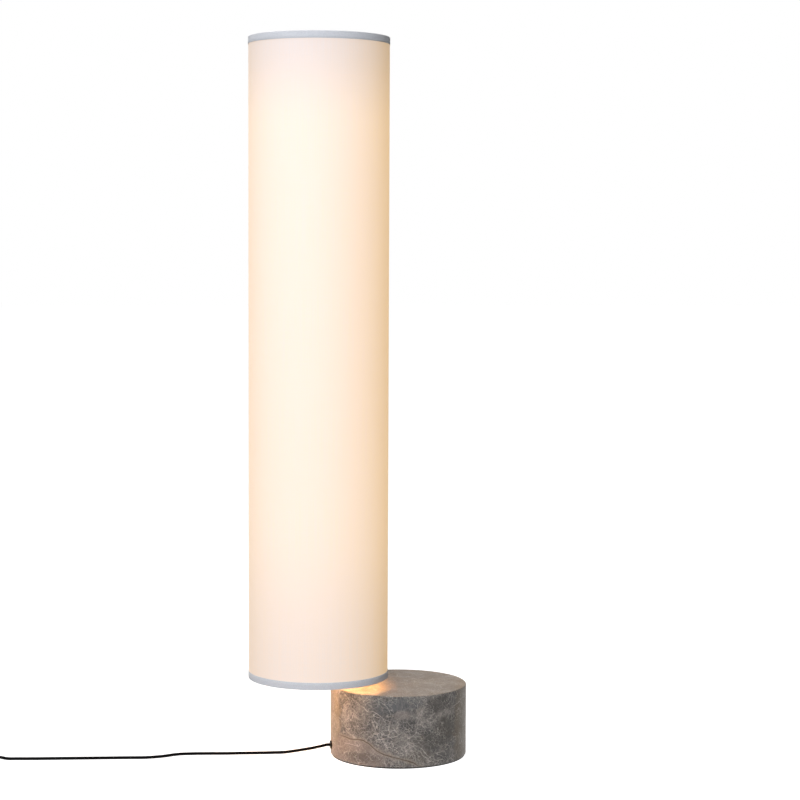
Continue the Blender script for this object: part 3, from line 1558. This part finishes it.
@dataclass(frozen=True)
class SoftLight(Light):
    """A square soft light that looks at the middle of the lamp.

    Attributes:
        size: its side in metres.
        left_deg: its direction to the left of the camera's.
        up_deg: its height above the level, in degrees.
        away: its distance.
        aim: what it looks at.
    """

    size: float
    left_deg: float
    up_deg: float
    away: float
    aim: Point = (-0.1, 0.0, 0.55)

    def build(self) -> None:
        """Hangs the light and turns it to what it looks at."""
        light = self._hung("AREA")
        light.data.size = self.size
        side = TURN - math.radians(self.left_deg)
        rise = math.radians(self.up_deg)
        back = np.array([
            math.sin(side) * math.cos(rise), -math.cos(side) * math.cos(rise), math.sin(rise)
        ])
        spin = Matrix.Rotation(side, 4, "Z") @ Matrix.Rotation(math.pi / 2 - rise, 4, "X")
        place = np.array(self.aim) + self.away * back
        light.matrix_world = Matrix.Translation(place.tolist()) @ spin


@dataclass(frozen=True)
class SmallLight(Light):
    """A small light inside the shade, for what the lamp tube throws down on the stone.

    Attributes:
        place: where it hangs.
        radius: its size.
    """

    place: Point
    radius: float = 0.006

    def build(self) -> None:
        """Hangs the light."""
        light = self._hung("POINT")
        light.data.shadow_soft_size = self.radius
        light.location = self.place


@dataclass
class Studio:
    """A pale floor, soft lights and a white world.

    Attributes:
        floor_half: half the floor's side.
        floor_paint: the floor's colour.
        floor_glow: its own light to the camera, which makes it look white.
        ambient: light from all round.
        lights: the key at the camera's left, the light overhead, and what the lamp tube throws
            down on the stem's side and on the other.
    """

    floor_half: float = 30.0
    floor_paint: str = "#bcbcbc"
    floor_glow: float = 0.935
    ambient: float = 0.138
    lights: tuple[SoftLight | SmallLight, ...] = (
        SoftLight("key", 134.0, "#f4f8ff", size=2.2, left_deg=15.0, up_deg=20.0, away=4.2),
        SoftLight("overhead", 70.0, "#fffaf4", size=2.0, left_deg=45.0, up_deg=80.0, away=3.4),
        SmallLight("near_throw", 0.38, "#ffc6a0", place=(-0.104, 0.012, 0.245)),
        SmallLight("far_throw", 0.8, "#ffc6a0", place=(-0.164, -0.016, 0.245)),
    )

    def build(self) -> None:
        """Makes the floor, the world and the lights, and sets the view transform."""
        bpy.context.scene.view_settings.view_transform = "Standard"
        self._floor()
        self._world()
        for light in self.lights:
            light.build()

    def _seen(self, nodes: Nodes) -> Socket:
        """1 for camera, mirror and glass rays, and 0 for the light on the object."""
        camera, glossy, glass = (
            nodes.add("LightPath", out=f"Is {ray} Ray") for ray in ("Camera", "Glossy", "Transmission")
        )
        mirror = nodes.add("Math", glossy, glass, operation="MAXIMUM")
        return nodes.add("Math", camera, mirror, operation="MAXIMUM")

    def _floor(self) -> None:
        """Makes the floor, which looks white and still takes the object's soft shadow."""
        s = self.floor_half
        corners = np.array([[[-s, -s, 0.0], [-s, s, 0.0]], [[s, -s, 0.0], [s, s, 0.0]]])
        sides = np.array([0.0, 2.0 * s])
        floor = surface("studio_floor", corners, sides, sides)
        floor.data.flip_normals()
        material = bpy.data.materials.new("white studio floor")
        nodes = Nodes(material)
        paint = nodes.add("BsdfDiffuse", self.floor_paint)
        seen = nodes.add("Math", self._seen(nodes), self.floor_glow, operation="MULTIPLY")
        glow = nodes.add("Emission", "#ffffff", seen)
        nodes.add("OutputMaterial", nodes.add("AddShader", paint, glow))
        floor.data.materials.append(material)

    def _world(self) -> None:
        """Makes the world: white to the camera, and a dimmer ambient light to the object."""
        world = bpy.data.worlds.new("studio")
        nodes = Nodes(world)
        strength = nodes.add("MapRange", self._seen(nodes), To_Min=self.ambient, To_Max=1.0)
        nodes.add("OutputWorld", nodes.add("Background", "#ffffff", strength))
        bpy.context.scene.world = world


def main() -> None:
    """Builds the camera, the sub-assemblies in order, and the studio."""
    logging.basicConfig(level=logging.INFO, format="%(message)s")
    wardrobe = Wardrobe()
    Viewpoint().build()
    # The switch comes before the cord that it hangs on, which names its pieces
    for part in (
        FootSwitch(), MainsCord(), CordEntry(), StoneBase(), StemAndArms(), LightSource(), Shade()
    ):
        part.dress(wardrobe)
        part.build(wardrobe)
    Studio().build()


if __name__ == "__main__":
    main()
